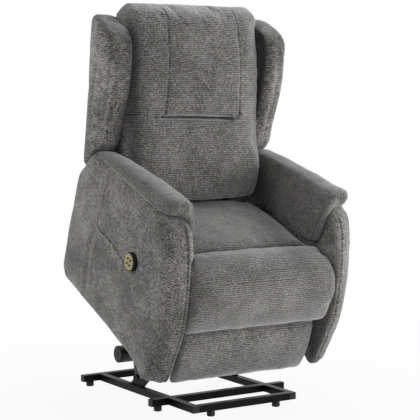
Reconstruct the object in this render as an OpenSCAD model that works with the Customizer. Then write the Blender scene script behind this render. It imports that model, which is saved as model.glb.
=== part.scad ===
// Lift recliner chair, drawn in its raised pose: the seat is tipped 24 degrees forwards.
// Millimetres. +X is the sitter's left, -Y the front, +Z up, z 0 the floor.

// every node, one per piece

/* [Base] */
// Width and height of the square base tube
tube = 25; // [15:1:40]
// Wall of the base tube
tube_wall = 2; // [1:0.5:4]
// Height of the feet under the base tube
foot_h = 19; // [10:1:40]
// Diameter of a foot
foot_d = 29; // [15:1:60]
// Half distance between the inner faces of the two side rails
rail_in = 192.7; // [150:0.1:260]
// Front face of the base
base_front = -365; // [-500:1:-200]
// Rear face of the base
base_rear = 328.4; // [200:0.1:500]
// Half length of the rear cross bar
rear_half = 286.4; // [220:0.1:340]
// Front face of the middle cross bar
mid_front = -199.5; // [-300:0.1:0]

/* [Lift] */
// Angle of the raised seat to the floor
raise_angle = 24; // [0:1:35]
// Thickness of a link plate
plate = 6; // [3:1:10]
// Diameter of the lift torque tube
lift_tube_d = 30; // [20:1:45]
// Diameter of a link pin
pin_d = 12; // [6:1:20]
// Diameter of the lift motor
motor_d = 65; // [40:1:80]
// Radial clearance of a pin in its bore
fit = 0.06; // [0.01:0.01:0.1]

/* [Body] */
// Half width of the seat cushion
seat_half = 285; // [270:1:310]
// Gap between the seat cushion and an arm box
seat_gap = 9; // [3:1:15]
// Width of an arm box
arm_wide = 90; // [70:1:120]
// How much narrower the footrest and the back are than the seat, each side
inset = 4; // [0:1:20]
// How far a wing stands out from an arm box
wing_proud = 12; // [0:1:30]
// Lean of the back to the upright
back_lean = 16.6; // [0:0.1:40]

/* [Hidden] */
$fn = 40;
arm_in = seat_half + seat_gap;
arm_out = arm_in + arm_wide;
roll_half = arm_in + 10;
panel_half = seat_half - inset;
back_half = seat_half - inset;
wing_out = arm_out + wing_proud;
origin_x = 5.8;
origin_y = 90.8;
shift_y = 85;
shift_z = 176;
deck = 44;
t1 = [-140, 185];
t2 = [-185, 170];
ab = [55, 66];
c0 = [312, 62];
e0 = [-165.2, 292.1];
p1 = [120, 121.98];
p2 = [-20, 112.5];
f0 = [-130, 278];
f1 = [-70.5, 92.3];
f2 = [-262, 150];
g0 = [-165, 315];
g1 = [-106.4, 129.2];
h1 = [-92, 108];
h2 = [-250, 120];
r0 = [300, 400];
j1 = [-138.9, 253.6];
j2 = [223.4, 335.7];
c2 = [215, 215];
e2 = [-107.5, 239];
hand = [-93, 423];
steel = [0.12, 0.12, 0.13];
grey = [0.45, 0.46, 0.48];
cloth = [0.36, 0.33, 0.31];
cloth_light = [0.42, 0.39, 0.37];

// frames
module base_at() { translate([origin_x, origin_y, 0]) children(); }
// the frame of the mechanism, which stands on the rails
module deck_at() { translate([origin_x, origin_y, foot_h + tube - deck]) children(); }
module chair_at() {
  deck_at() rotate([raise_angle, 0, 0]) translate([0, shift_y, shift_z]) children();
}
module left() { children(); }
module right() { mirror([1, 0, 0]) children(); }
// a profile of (Y, Z) points drawn between two X positions
module slab(x0, x1) { translate([x0, 0, 0]) rotate([90, 0, 90]) linear_extrude(x1 - x0) children(); }
module rod(x0, x1, p, r) { slab(x0, x1) translate(p) circle(r); }
module bar2(p, q, w) {
  d = q - p;
  translate(p) rotate(atan2(d[1], d[0])) translate([0, -w / 2]) square([norm(d), w]);
}
// a link outline with round ends
module link2(p, q, w, rp, rq) {
  union() {
    bar2(p, q, w);
    translate(p) circle(rp);
    translate(q) circle(rq);
  }
}
module hole2(p, r) { translate(p) circle(r); }
// a slot outline from p to q, half width r
module slot2(p, q, r) {
  d = q - p;
  a = atan2(d[1], d[0]);
  polygon(concat([for (i = [0:12]) p + r * [cos(a + 90 + i * 15), sin(a + 90 + i * 15)]],
    [for (i = [0:12]) q + r * [cos(a - 90 + i * 15), sin(a - 90 + i * 15)]]));
}
// the frame of a line from p to q: X along the line, Y across, Z along the part's X
module along(p, q) {
  d = q - p;
  rotate([90, 0, 90]) translate([p[0], p[1], 0]) rotate([0, 0, atan2(d[1], d[0])]) children();
}
module shaft(p, q, a, b, r) {
  along(p, q) translate([a, 0, 0]) rotate([0, 90, 0]) cylinder(h = b - a, r = r);
}
// a half outline and its mirror image across the middle plane
function whole(a) = concat(a, [for (i = [len(a) - 1:-1:0]) [-a[i][0], a[i][1]]]);

// base
module tube_x(x0, x1, y0) {
  translate([x0, y0, foot_h]) difference() {
    cube([x1 - x0, tube, tube]);
    translate([-1, tube_wall, tube_wall])
      cube([x1 - x0 + 2, tube - 2 * tube_wall, tube - 2 * tube_wall]);
  }
}
module foot_bore(x, y) { translate([x, y, foot_h - 1]) cylinder(h = tube_wall + 2, r = 4.1); }
foot_at = [[rear_half - 32.6, mid_front + tube / 2], [rear_half - 32.6, base_rear - tube / 2],
  [rail_in - 54.4, base_front + tube / 2]];
module rail() {
  translate([rail_in, base_front + 3, foot_h]) difference() {
    cube([tube, base_rear - tube - base_front - 3, tube]);
    translate([tube_wall, -1, tube_wall])
      cube([tube - 2 * tube_wall, 800, tube - 2 * tube_wall]);
  }
}
module base_rail_left() { color(steel) base_at() left() rail(); }
module base_rail_right() { color(steel) base_at() right() rail(); }
module front_cross_bar() {
  color(steel) base_at() difference() {
    tube_x(-rail_in, rail_in, base_front);
    for (s = [-1, 1]) foot_bore(s * foot_at[2][0], foot_at[2][1]);
  }
}
module middle_cross_bar() { color(steel) base_at() tube_x(-rail_in, rail_in, mid_front); }
module outrigger_stubs() {
  color(steel) base_at() for (s = [0, 1]) mirror([s, 0, 0]) difference() {
    tube_x(rail_in + tube, rear_half - 4, mid_front);
    foot_bore(foot_at[0][0], foot_at[0][1]);
  }
}
module rear_cross_bar() {
  color(steel) base_at() difference() {
    tube_x(-rear_half + 3, rear_half - 3, base_rear - tube);
    for (s = [-1, 1]) foot_bore(s * foot_at[1][0], foot_at[1][1]);
  }
}
// a cap drawn with its outer face at x 3, plug towards -x
module cap() {
  translate([0, -tube / 2, foot_h]) cube([3, tube, tube]);
  translate([-9, -tube / 2 + tube_wall, foot_h + tube_wall])
    cube([9.5, tube - 2 * tube_wall, tube - 2 * tube_wall]);
}
module tube_end_caps() {
  color(steel) base_at() for (s = [0, 1]) mirror([s, 0, 0]) {
    translate([rear_half - 4, foot_at[0][1], 0]) cap();
    translate([rear_half - 3, foot_at[1][1], 0]) cap();
    translate([rail_in + tube / 2, base_front + 3, 0]) rotate([0, 0, -90]) cap();
  }
}
module foot() {
  rotate_extrude() polygon([[0, 0], [foot_d / 2 - 2, 0], [foot_d / 2, 2], [foot_d / 2, foot_h - 4],
    [foot_d / 2 - 2, foot_h], [4, foot_h], [4, foot_h + 8], [0, foot_h + 8]]);
}
module feet() {
  color(steel) base_at() for (s = [0, 1], p = foot_at) mirror([s, 0, 0]) translate([p[0], p[1], 0]) foot();
}
module tower() {
  difference() {
    union() {
      slab(199, 205) difference() {
        union() {
          translate(t1) circle(26);
          translate(t2) circle(15);
          bar2(t1, t2, 27);
          translate(ab) circle(16);
          polygon([[-152, 162], [-8, 50], [-5, deck], [92, deck], [71, 62], [40, 66], [4, 82],
            [-122, 204]]);
        }
        hole2(t1, lift_tube_d / 2 + fit);
      }
      rod(204, 222.6, t2, pin_d / 2);
      rod(221.4, 222.8, t2, 9);
      rod(190.6, 200, ab, 7);
      rod(189, 190.7, ab, 10);
      translate([198, -4, deck]) cube([14, 95, 3]);
    }
  }
}
module lift_tower_left() { color(steel) deck_at() left() tower(); }
module lift_tower_right() { color(steel) deck_at() right() tower(); }
module motor_clevis() {
  color(steel) deck_at() union() {
    for (x = [-20, 14]) slab(x, x + 6) union() {
      translate(c0) circle(12);
      translate([c0[0] - 12, deck]) square([24, c0[1] - deck]);
    }
    translate([-20, c0[0] - 12, deck]) cube([40, 24, 3]);
    rod(-21.5, 21.5, c0, pin_d / 2);
  }
}

// lift arms and links
tp1 = [66.08, 355.6];
tp2 = [-57.96, 290];
module arm_plate() {
  union() {
    slab(207, 213) difference() {
      link2(t1, tp1, 34, 24, 20);
      hole2(t1, lift_tube_d / 2 + 0.01);
    }
    rod(212, 230.8, tp1, 8);
    rod(229.4, 230.9, tp1, 12);
  }
}
module lift_arm_left() { color(grey) deck_at() left() arm_plate(); }
module lift_arm_right() { color(grey) deck_at() right() arm_plate(); }
module lift_torque_tube() {
  d = e0 - t1;
  u = d / norm(d);
  color(steel) deck_at() union() {
    slab(-213, 213) difference() {
      translate(t1) circle(lift_tube_d / 2);
      translate(t1) circle(lift_tube_d / 2 - 3);
    }
    for (x = [-17, 11]) slab(x, x + 6) difference() {
      union() {
        link2(t1, e0, 34, 24, 19);
      }
      hole2(t1, lift_tube_d / 2 - 0.5);
      slot2(e0 - 11 * u, e0, 7.3);
    }
  }
}
module guide() {
  slab(215, 221) difference() {
    link2(t2, tp2, 26, 16, 16);
    hole2(t2, pin_d / 2 + fit);
    hole2(tp2, pin_d / 2 + 0.8);
  }
}
module guide_arm_left() { color(grey) deck_at() left() guide(); }
module guide_arm_right() { color(grey) deck_at() right() guide(); }
ta = [ab[0] + 310 * cos(68), ab[1] + 310 * sin(68)];
module rear_link() {
  k = ab + 70 * [cos(78), sin(78)];
  union() {
    slab(191, 197) difference() {
      union() {
        link2(ab, k, 30, 16, 15);
        link2(k, ta, 30, 15, 15);
      }
      hole2(ab, 7 + fit);
    }
    rod(196, 230.4, ta, 7);
    rod(229.4, 230.9, ta, 10);
  }
}
module rear_link_left() { color(grey) deck_at() left() rear_link(); }
module rear_link_right() { color(grey) deck_at() right() rear_link(); }

// lift actuator, drawn along the line from its clevis to the lever
mc = [269, 119];
module lift_motor() {
  color(grey) deck_at() difference() {
    union() {
      rod(-145, -34, mc, motor_d / 2);
      slab(-35, 22) union() {
        translate(mc) circle(36);
        along2(c0, e0) translate([36, -22]) square([60, 44]);
      }
    }
    shaft(c0, e0, 20, 110, 16);
  }
}
module along2(p, q) { d = q - p; translate(p) rotate(atan2(d[1], d[0])) children(); }
module lift_motor_cap() {
  color(steel) deck_at() union() {
    rod(-158, -145, mc, motor_d / 2);
    rod(-160, -157.9, mc, motor_d / 2 - 3);
    rod(-161.5, -159.9, mc, 5);
  }
}
module lift_actuator_tube() {
  color(steel) deck_at() difference() {
    union() {
      shaft(c0, e0, 14, 400, 16);
      slab(-13, 13) translate(c0) circle(14.2);
      shaft(c0, e0, 392, 402, 18);
    }
    shaft(c0, e0, 60, 410, 10 + fit);
    rod(-14, 14, c0, pin_d / 2 + fit);
  }
}
module lift_actuator_rod() {
  l = norm(e0 - c0);
  color(grey) deck_at() union() {
    shaft(c0, e0, 220, l - 6, 10);
    slab(-8.5, 8.5) translate(e0) circle(14);
    rod(-19, 19, e0, pin_d / 2);
  }
}

// body frame
module side_plate() {
  union() {
    slab(224, 229) difference() {
      union() {
        polygon([[-252, 322], [-195, 296], [-150, 250], [-60, 150], [-38, 96], [190, 92], [206, 62],
          [378, 62], [378, 98], [300, 112], [250, 250], r0 + [22, -15], r0 + [18, 18], r0 + [-18, 18],
          [230, 365],
          [-252, 365]]);
      }
      polygon([[-90, 235], [10, 150], [120, 150], [60, 235], [-60, 300], [-100, 300]]);
      polygon([[110, 235], [170, 150], [240, 150], [215, 235], [205, 300], [0, 300]]);
      track2();
      hole2(p1, 8 + fit);
      hole2(f0, 11 + fit);
    }
    rod(214.4, 225, p2, pin_d / 2);
    rod(228, 252.6, g0, pin_d / 2);
    rod(251.4, 252.9, g0, 9);
    rod(228, 238.7, r0, 8);
    rod(237.5, 238.9, r0, 11);
    rod(228, arm_in, [-225, 343], 12);
    rod(228, arm_in, [80, 205], 13);
    rod(228, arm_in, [262, 205], 13);
  }
}
// the curved slot for the pin of the rear link
module track2() {
  c = [291.27, -537.58];
  r = 619.44;
  h = 7.6;
  a = [for (i = [0:12]) 97.06 - i * 1.163];
  polygon(concat([for (k = a) c + (r + h) * [cos(k), sin(k)]],
    [for (i = [1:11]) c + r * [cos(a[12]), sin(a[12])] + h * [cos(a[12] - i * 15), sin(a[12] - i * 15)]],
    [for (i = [12:-1:0]) c + (r - h) * [cos(a[i]), sin(a[i])]],
    [for (i = [1:11]) c + r * [cos(a[0]), sin(a[0])] + h * [cos(a[0] + 180 - i * 15),
      sin(a[0] + 180 - i * 15)]]));
}
module side_plate_left() { color(steel) chair_at() left() side_plate(); }
module side_plate_right() { color(steel) chair_at() right() side_plate(); }
module seat_frame() {
  color(steel) chair_at() union() {
    for (y = [-240, 225]) translate([-224, y, 338]) cube([448, 25, 25]);
    for (x = [-224, 199]) translate([x, -240, 338]) cube([25, 465, 25]);
    for (x = [78, 106]) slab(x, x + 6) union() {
      translate(c2) circle(14);
      polygon([[201, 215], [229, 215], [250, 338], [228, 338]]);
    }
    rod(78, 112, c2, pin_d / 2);
    translate([-224, 300, 372]) cube([448, 20, 25]);
  }
}
module spring() {
  linear_extrude(4) polygon(concat([for (i = [0:22]) [i % 2 == 0 ? -16 : 12, -230 + i * 21.6]],
    [for (i = [22:-1:0]) [i % 2 == 0 ? -12 : 16, -230 + i * 21.6]]));
}
module seat_springs() {
  color(grey) chair_at() for (x = [-160, -80, 0, 80, 160]) translate([x, 0, 363]) spring();
}

// arms
arm_top = [[312, 634], [279, 637], [120, 646], [-60, 655], [-166, 661], [-188, 651], [-240, 638],
  [-262, 620]];
arm_side = concat([[361, 566], [392, 513], [389, 400], [386, 282], [372, 143], [356, 123],
  [340, 109], [-290, 105], [-318, 88], [-331, 92], [-341, 130], [-352, 168], [-361, 215], [-365, 262],
  [-362, 325], [-352, 395], [-336, 460], [-312, 528], [-292, 572]],
  [for (i = [7:-1:0]) arm_top[i]]);
arm_plan = [[arm_in, 420], [arm_out - 10, 420], [arm_out, 400], [arm_out, -318], [arm_out - 4, -330],
  [arm_out - 14, -340], [arm_out - 32, -350], [arm_out - 60, -360], [roll_half + 0.6, -372],
  [roll_half + 0.6, -268], [arm_in, -256]];
module arm_box() {
  difference() {
    intersection() {
      slab(arm_in, arm_out) polygon(arm_side);
      linear_extrude(760) polygon(arm_plan);
    }
    slab(arm_in + 14, arm_out - 14) polygon([[290, 80], [290, 420], [330, 560], [300, 600], [-180, 610],
      [-250, 560], [-300, 420], [-300, 80]]);
  }
}
module side_panel_left() { color(cloth_light) chair_at() left() arm_box(); }
module side_panel_right() { color(cloth_light) chair_at() right() arm_box(); }
pad_side = concat(arm_top, [[-267, 632], [-252, 652], [-233, 672], [-208, 700], [-175, 708],
  [-113, 706], [-18, 698], [75, 684], [205, 666], [304, 648]]);
pad_cross = [[arm_in - 9, 630], [arm_out + 4, 626], [arm_out + 7, 652], [arm_out + 2, 676],
  [arm_out - 8, 692], [arm_out - 24, 704], [arm_out - 44, 712], [arm_in + 26, 708], [arm_in + 4, 694],
  [arm_in - 6, 674], [arm_in - 9, 655]];
module arm_pad() {
  union() {
    intersection() {
      slab(arm_in - 9, arm_out + 7) polygon(pad_side);
      translate([0, -160, 0]) rotate([-8.6, 0, 0]) translate([0, 0, -4]) rotate([90, 0, 0])
        translate([0, 0, -600]) linear_extrude(800) polygon(pad_cross);
    }
    slab(arm_in - 8, arm_in) polygon([[290, 470], [300, 640], [-200, 660], [-255, 640], [-262, 622],
      [-280, 560], [-240, 500], [-200, 475]]);
  }
}
module arm_pad_left() { color(cloth) chair_at() left() arm_pad(); }
module arm_pad_right() { color(cloth) chair_at() right() arm_pad(); }

// seat
module seat_cushion() {
  color(cloth) chair_at() difference() {
    seat_block();
    // room for the levers of the back as it reclines
    for (x = [-252, 227]) slab(x, x + 25)
      polygon([[40, 350], [220, 350], [220, 418], [176, 418], [40, 372]]);
  }
}
module seat_block() {
  intersection() {
    slab(-seat_half, seat_half) polygon([[-205, 367], [-205, 522], [-150, 522], [-40, 520], [60, 514],
      [130, 504], [196, 494], [206, 470], [206, 367]]);
    rotate([90, 0, 0]) translate([0, 0, -300]) linear_extrude(600) polygon(whole([[seat_half, 340],
      [seat_half, 470], [seat_half - 13, 486], [seat_half - 40, 499], [seat_half - 125, 515],
      [seat_half - 225, 523]]));
  }
}
roll_side = [[-205, 367], [-205, 523], [-250, 522], [-292, 512], [-328, 495], [-352, 472], [-368, 440],
  [-374, 396], [-373, 350], [-366, 310], [-354, 282], [-342, 270], [-328, 270], [-316, 284], [-306, 320],
  [-294, 350], [-262, 367]];
module seat_roll() {
  color(cloth) chair_at() intersection() {
    slab(-roll_half, roll_half) polygon(roll_side);
    rotate([90, 0, 0]) translate([0, 0, -100]) linear_extrude(600) polygon(whole([[roll_half - 4, 262],
      [roll_half, 300], [roll_half, 440], [roll_half - 9, 470], [roll_half - 24, 488],
      [roll_half - 64, 506], [roll_half - 184, 519], [roll_half * 0.1, 523]]));
    linear_extrude(700) polygon(whole([[seat_half - 1, -205], [seat_half - 1, -262],
      [roll_half, -272], [roll_half, -330], [roll_half - 14, -352], [roll_half - 42, -366],
      [roll_half - 124, -374]]));
  }
}
module rear_panel() {
  color(cloth) chair_at() difference() {
    translate([-arm_in, 360, 126]) cube([2 * arm_in, 10, 304]);
    for (x = [-241, 227]) translate([x, 350, 394]) cube([14, 30, 60]);
  }
}

// handset on the outer face of the right arm
module hand_rod(x0, x1, r) { rod(-x1, -x0, hand, r); }
button_at = [[-9, 9], [9, 9], [-9, -9], [9, -9]];
module handset_housing() {
  color(steel) chair_at() difference() {
    union() {
      hand_rod(arm_out, arm_out + 18, 33);
      hand_rod(arm_out + 17.9, arm_out + 20, 31);
    }
    for (b = button_at) rod(-arm_out - 22, -arm_out - 12, hand + b, 5.4);
  }
}
module handset_face() {
  color([0.62, 0.52, 0.3]) chair_at() difference() {
    hand_rod(arm_out + 20, arm_out + 22, 29);
    for (b = button_at) rod(-arm_out - 24, -arm_out - 18, hand + b, 4 + fit);
  }
}
module button(i) {
  b = hand + button_at[i];
  color(steel) chair_at() union() {
    rod(-arm_out - 23.6, -arm_out - 18, b, 4);
    rod(-arm_out - 19.8, -arm_out - 17.6, b, 5);
  }
}
module button_lift_up() { button(0); }
module button_lift_down() { button(1); }
module button_recline() { button(2); }
module button_return() { button(3); }

// footrest
module foot_arm() {
  union() {
    slab(231, 237) difference() {
      union() {
        link2(f0, f1, 26, 22, 15);
        link2(f0, j1, 22, 21, 13);
      }
      hole2(f0, 11.01);
    }
    rod(236, 246.6, f1, pin_d / 2);
    rod(245.4, 246.6, f1, 9);
    rod(236, 246.6, j1, pin_d / 2);
    rod(245.4, 246.6, j1, 8);
  }
}
module footrest_arm_left() { color(grey) chair_at() left() foot_arm(); }
module footrest_arm_right() { color(grey) chair_at() right() foot_arm(); }
module footrest_torque_tube() {
  d = e2 - f0;
  u = d / norm(d);
  color(steel) chair_at() union() {
    slab(-237, 237) difference() {
      translate(f0) circle(11);
      translate(f0) circle(8);
    }
    for (x = [80, 104]) slab(x, x + 6) difference() {
      link2(f0, e2, 30, 18, 20);
      hole2(f0, 10.5);
      slot2(e2 - 14 * u, e2, 9);
    }
  }
}
module foot_link() {
  difference() {
    slab(239, 245) difference() {
      union() {
        link2(f1, f2, 24, 15, 14);
        polygon([f1 + [6, 14], g1 + [12, 6], g1 + [-12, 6], f1 + [-70, 20]]);
        hole2(g1, 13);
      }
      hole2(f1, pin_d / 2 + fit);
      hole2(f2, pin_d / 2 + fit);
    }
  }
  rod(244, 252.6, g1, 5);
  rod(251.4, 252.9, g1, 10.4);
}
module footrest_link_left() { color(grey) chair_at() left() foot_link(); }
module footrest_link_right() { color(grey) chair_at() right() foot_link(); }
module foot_stay() {
  q1 = g0 + 193.4 * (g1 - g0) / norm(g1 - g0);
  union() {
    slab(247, 251) difference() {
      union() {
        link2(g0, g1, 24, 15, 15);
        link2(g1, h1, 20, 14, 12);
      }
      hole2(g0, pin_d / 2 + fit);
      hole2(q1, 7.2);
    }
    rod(250, 259.6, h1, 5);
    rod(258.4, 259.8, h1, 8);
  }
}
module footrest_stay_left() { color(grey) chair_at() left() foot_stay(); }
module footrest_stay_right() { color(grey) chair_at() right() foot_stay(); }
module tilt_link() {
  slab(254, 258) difference() {
    link2(h1, h2, 20, 11, 13);
    hole2(h1, 5 + fit);
    hole2(h2, 6.6);
  }
}
module footrest_tilt_link_left() { color(grey) chair_at() left() tilt_link(); }
module footrest_tilt_link_right() { color(grey) chair_at() right() tilt_link(); }
module board_ear() {
  union() {
    slab(247, 251) union() {
      polygon([[-288, 100], [-250, 106], [-246, 136], [-250, 162], [-288, 178]]);
      hole2(f2, 14);
      hole2(h2, 14);
    }
    translate([247, -292, 96]) cube([14, 4.1, 86]);
    rod(237.6, 248, f2, pin_d / 2);
    rod(250, 259.6, h2, 5);
    rod(258.4, 259.8, h2, 9);
  }
}
module footrest_board() {
  color(steel) chair_at() union() {
    translate([-panel_half + 19, -298, 64]) cube([2 * panel_half - 38, 10, 194]);
    for (s = [0, 1]) mirror([s, 0, 0]) board_ear();
  }
}
module footrest_pad() {
  color(cloth) chair_at() intersection() {
    slab(-panel_half, panel_half) polygon([[-298, 56], [-306, 50], [-320, 56], [-330, 72], [-338, 96],
      [-343, 130], [-343, 212], [-338, 242], [-328, 259], [-316, 264], [-298, 264]]);
    linear_extrude(700) polygon(whole([[panel_half, -290], [panel_half, -318],
      [panel_half - 7, -332], [panel_half - 23, -343]]));
  }
}

// recline actuator, on the sitter's left of the middle
module recline_actuator() {
  color(grey) chair_at() translate([95, 0, 0]) difference() {
    union() {
      slab(-10, 10) translate(c2) circle(15);
      slab(-10, 10) along2(c2, e2) translate([0, -13]) square([24, 26]);
      shaft(c2, e2, 15.4, 288, 15);
      slab(-18, 18) along2(c2, e2) translate([22, -62]) square([46, 78]);
      along(c2, e2) translate([67, -42, 0]) rotate([0, 90, 0]) cylinder(h = 110, r = 19);
    }
    shaft(c2, e2, 80, 300, 8 + fit);
    rod(-11, 11, c2, pin_d / 2 + fit);
  }
}
module recline_rod() {
  l = norm(e2 - c2);
  color(grey) chair_at() translate([95, 0, 0]) union() {
    shaft(c2, e2, 180, l - 4, 8);
    slab(-8, 8) translate(e2) circle(11);
    rod(-16.5, 16.5, e2, 5.5);
  }
}

// back
// depth of the plane the back cushion rests on, at height z
function on_back(z) = 345 + (z - 470) * tan(back_lean);
// the back and what it carries move with its hinge
module back_at() { translate([0, r0[0] - 300, r0[1] - 400]) children(); }
module drive_link() {
  slab(239, 245) difference() {
    link2(j1, j2, 22, 13, 17);
    hole2(j1, pin_d / 2 + fit);
    hole2(j2, 9);
  }
}
module back_drive_link_left() { color(grey) chair_at() left() drive_link(); }
module back_drive_link_right() { color(grey) chair_at() right() drive_link(); }
module back_plate() {
  union() {
    slab(231, 237) difference() {
      union() {
        link2(r0, j2, 28, 20, 16);
        translate([r0[0] - 300, r0[1] - 400]) polygon([[282, 408], [318, 390], [352, 440],
          [372, 480], [420, 640], [532, 1010], [on_back(1014), 1014], [on_back(468), 468], [316, 460]]);
      }
      hole2(r0, 8 + fit);
    }
    rod(236, 246.8, j2, pin_d / 2);
    rod(245.4, 246.8, j2, 11.5);
  }
}
module back_frame() {
  color(steel) chair_at() union() {
    for (s = [0, 1]) mirror([s, 0, 0]) back_plate();
    for (k = [610, 790, 980]) back_at() translate([-back_half - 2, on_back(k), k])
      rotate([-back_lean, 0, 0]) cube([2 * back_half + 4, 22, 26]);
  }
}
module back_cushion() {
  color(cloth) chair_at() back_at() intersection() {
      slab(-back_half, back_half) polygon([[160, 508], [150, 530], [150, 560], [158, 604], [176, 648],
        [214, 700], [238, 740], [262, 777], [270, 800], [285, 850], [330, 950], [366, 1012],
        [396, 1050], [424, 1092], [455, 1124], [486, 1130], [520, 1124], [538, 1104],
        [on_back(1050) - 0.3, 1050], [on_back(470) - 0.3, 470], [320, 470], [240, 496]]);
      rotate([90, 0, 0]) translate([0, 0, -700]) linear_extrude(700)
        polygon([[-back_half, 440], [back_half, 440], [back_half, 1070], [back_half - 6, 1100],
        [back_half - 24, 1122], [back_half - 60, 1130], [-back_half + 60, 1130], [-back_half + 24, 1122],
        [-back_half + 6, 1100], [-back_half, 1070]]);
  }
}
wing_side = [[319, 644], [320, 735], [321, 812], [328, 886], [345, 955], [372, 1028], [396, 1052],
  [430, 1066], [516, 1073], [560, 1062], [580, 1040], [567, 988], [516, 788], [436, 537], [392, 540],
  [368, 572]];
module wing() {
  intersection() {
    slab(back_half + 2, wing_out) polygon(wing_side);
    translate([0, 300, 500]) rotate([-back_lean, 0, 0]) translate([0, 0, -100]) linear_extrude(760)
      polygon([[back_half + 2, -160], [back_half + 60, -160], [wing_out - 10, -140], [wing_out - 2, -100],
      [wing_out, -40], [wing_out - 2, 20], [wing_out - 12, 60], [wing_out - 34, 100],
      [wing_out - 70, 140], [back_half + 2, 150]]);
  }
}
module wing_left() { color(cloth_light) chair_at() back_at() left() wing(); }
module wing_right() { color(cloth_light) chair_at() back_at() right() wing(); }
module back_cover() {
  color(cloth) chair_at() back_at() slab(-back_half - 2, back_half + 2) polygon([[384, 452], [436, 537],
    [516, 788], [567, 988], [577, 1041], [568, 1064], [540, 1076], [540, 1066], [560, 1056],
    [567, 1040], [557, 988], [506, 790], [427, 541], [384, 468]]);
}

base_rail_left();
base_rail_right();
front_cross_bar();
middle_cross_bar();
outrigger_stubs();
rear_cross_bar();
tube_end_caps();
feet();
lift_tower_left();
lift_tower_right();
motor_clevis();
lift_arm_left();
lift_arm_right();
lift_torque_tube();
guide_arm_left();
guide_arm_right();
rear_link_left();
rear_link_right();
lift_motor();
lift_motor_cap();
lift_actuator_tube();
lift_actuator_rod();
side_plate_left();
side_plate_right();
seat_frame();
seat_springs();
side_panel_left();
side_panel_right();
arm_pad_left();
arm_pad_right();
seat_cushion();
seat_roll();
rear_panel();
handset_housing();
handset_face();
button_lift_up();
button_lift_down();
button_recline();
button_return();
footrest_arm_left();
footrest_arm_right();
footrest_torque_tube();
footrest_link_left();
footrest_link_right();
footrest_stay_left();
footrest_stay_right();
footrest_tilt_link_left();
footrest_tilt_link_right();
footrest_board();
footrest_pad();
recline_actuator();
recline_rod();
back_drive_link_left();
back_drive_link_right();
back_frame();
back_cushion();
wing_left();
wing_right();
back_cover();
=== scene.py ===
import math

import bpy
import numpy as np
from mathutils import Matrix, Vector


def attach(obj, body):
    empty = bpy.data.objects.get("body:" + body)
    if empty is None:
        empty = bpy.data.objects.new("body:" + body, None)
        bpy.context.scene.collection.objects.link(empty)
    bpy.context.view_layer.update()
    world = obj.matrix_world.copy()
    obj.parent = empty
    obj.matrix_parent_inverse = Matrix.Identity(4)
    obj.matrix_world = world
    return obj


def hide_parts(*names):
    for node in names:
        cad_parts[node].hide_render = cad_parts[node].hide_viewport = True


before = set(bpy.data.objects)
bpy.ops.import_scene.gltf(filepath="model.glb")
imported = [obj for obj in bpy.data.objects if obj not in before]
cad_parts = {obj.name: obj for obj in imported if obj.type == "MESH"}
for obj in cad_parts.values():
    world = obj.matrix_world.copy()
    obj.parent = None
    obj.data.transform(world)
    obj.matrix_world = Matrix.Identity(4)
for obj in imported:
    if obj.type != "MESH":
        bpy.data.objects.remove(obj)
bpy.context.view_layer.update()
print("frame loaded:", len(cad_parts), "nodes")

# the chair's own frame: millimetres, x to its left, y to its back, z up, before it is tipped
chair = {"tilt": 24.0, "originX": 5.8, "originY": 90.8, "shiftY": 85.0, "shiftZ": 176.0}
metre = 1000  # in millimetres


def toWorld(p):
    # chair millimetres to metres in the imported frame
    p = np.asarray(p, float)
    a = math.radians(chair["tilt"])
    y, z = p[:, 1] + chair["shiftY"], p[:, 2] + chair["shiftZ"]
    return np.stack([p[:, 0] + chair["originX"],
                     y * math.cos(a) - z * math.sin(a) + chair["originY"],
                     y * math.sin(a) + z * math.cos(a)], 1) / metre


# a socket that works in expressions: each operator adds its Math node
class Sock:
    def __init__(self, shading, out):
        self.shading, self.out = shading, out

    def calc(self, op, *args):
        return self.shading.node("ShaderNodeMath", {"operation": op}, dict(enumerate(args)))

    def __add__(self, other):
        return self.calc("ADD", self, other)

    def __radd__(self, other):
        return self.calc("ADD", other, self)

    def __sub__(self, other):
        return self.calc("SUBTRACT", self, other)

    def __rsub__(self, other):
        return self.calc("SUBTRACT", other, self)

    def __mul__(self, other):
        return self.calc("MULTIPLY", self, other)

    def __rmul__(self, other):
        return self.calc("MULTIPLY", other, self)

    def sine(self):
        return self.calc("SINE", self)

    def larger(self, other):
        return self.calc("MAXIMUM", self, other)


# the nodes of a material or of the world
class Shading:
    def __init__(self, tree):
        self.tree = tree

    def node(self, kind, settings=None, inputs=None, output=0):
        n = self.tree.nodes.new(kind)
        for key, value in (settings or {}).items():
            if key == "stops":
                ramp = n.color_ramp
                while len(ramp.elements) < len(value):
                    ramp.elements.new(0.5)
                for element, (position, colour) in zip(ramp.elements, value):
                    element.position, element.color = position, colour
            else:
                setattr(n, key, value)
        for key, value in (inputs or {}).items():
            if isinstance(value, Sock):
                self.tree.links.new(value.out, n.inputs[key])
            else:
                n.inputs[key].default_value = value
        return Sock(self, n.outputs[output])

    def noise(self, vec, scale, detail=2.0, rough=0.5):
        return self.node("ShaderNodeTexNoise", None,
                         {"Vector": vec, "Scale": scale, "Detail": detail, "Roughness": rough})

    def mix(self, fac, a, b):
        return self.node("ShaderNodeMix", {"data_type": "RGBA"}, {0: fac, 6: a, 7: b}, 2)

    def spread(self, value, low, high, toLow=0.0, toHigh=1.0):
        return self.node("ShaderNodeMapRange", None, {0: value, 1: low, 2: high, 3: toLow, 4: toHigh})

    def backdropRays(self):
        # 1 for a ray that shows the backdrop itself, 0 for one that lights the chair
        camera, glossy, through = [self.node("ShaderNodeLightPath", None, None, ray)
                                   for ray in ("Is Camera Ray", "Is Glossy Ray", "Is Transmission Ray")]
        return camera.larger(glossy).larger(through)


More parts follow.
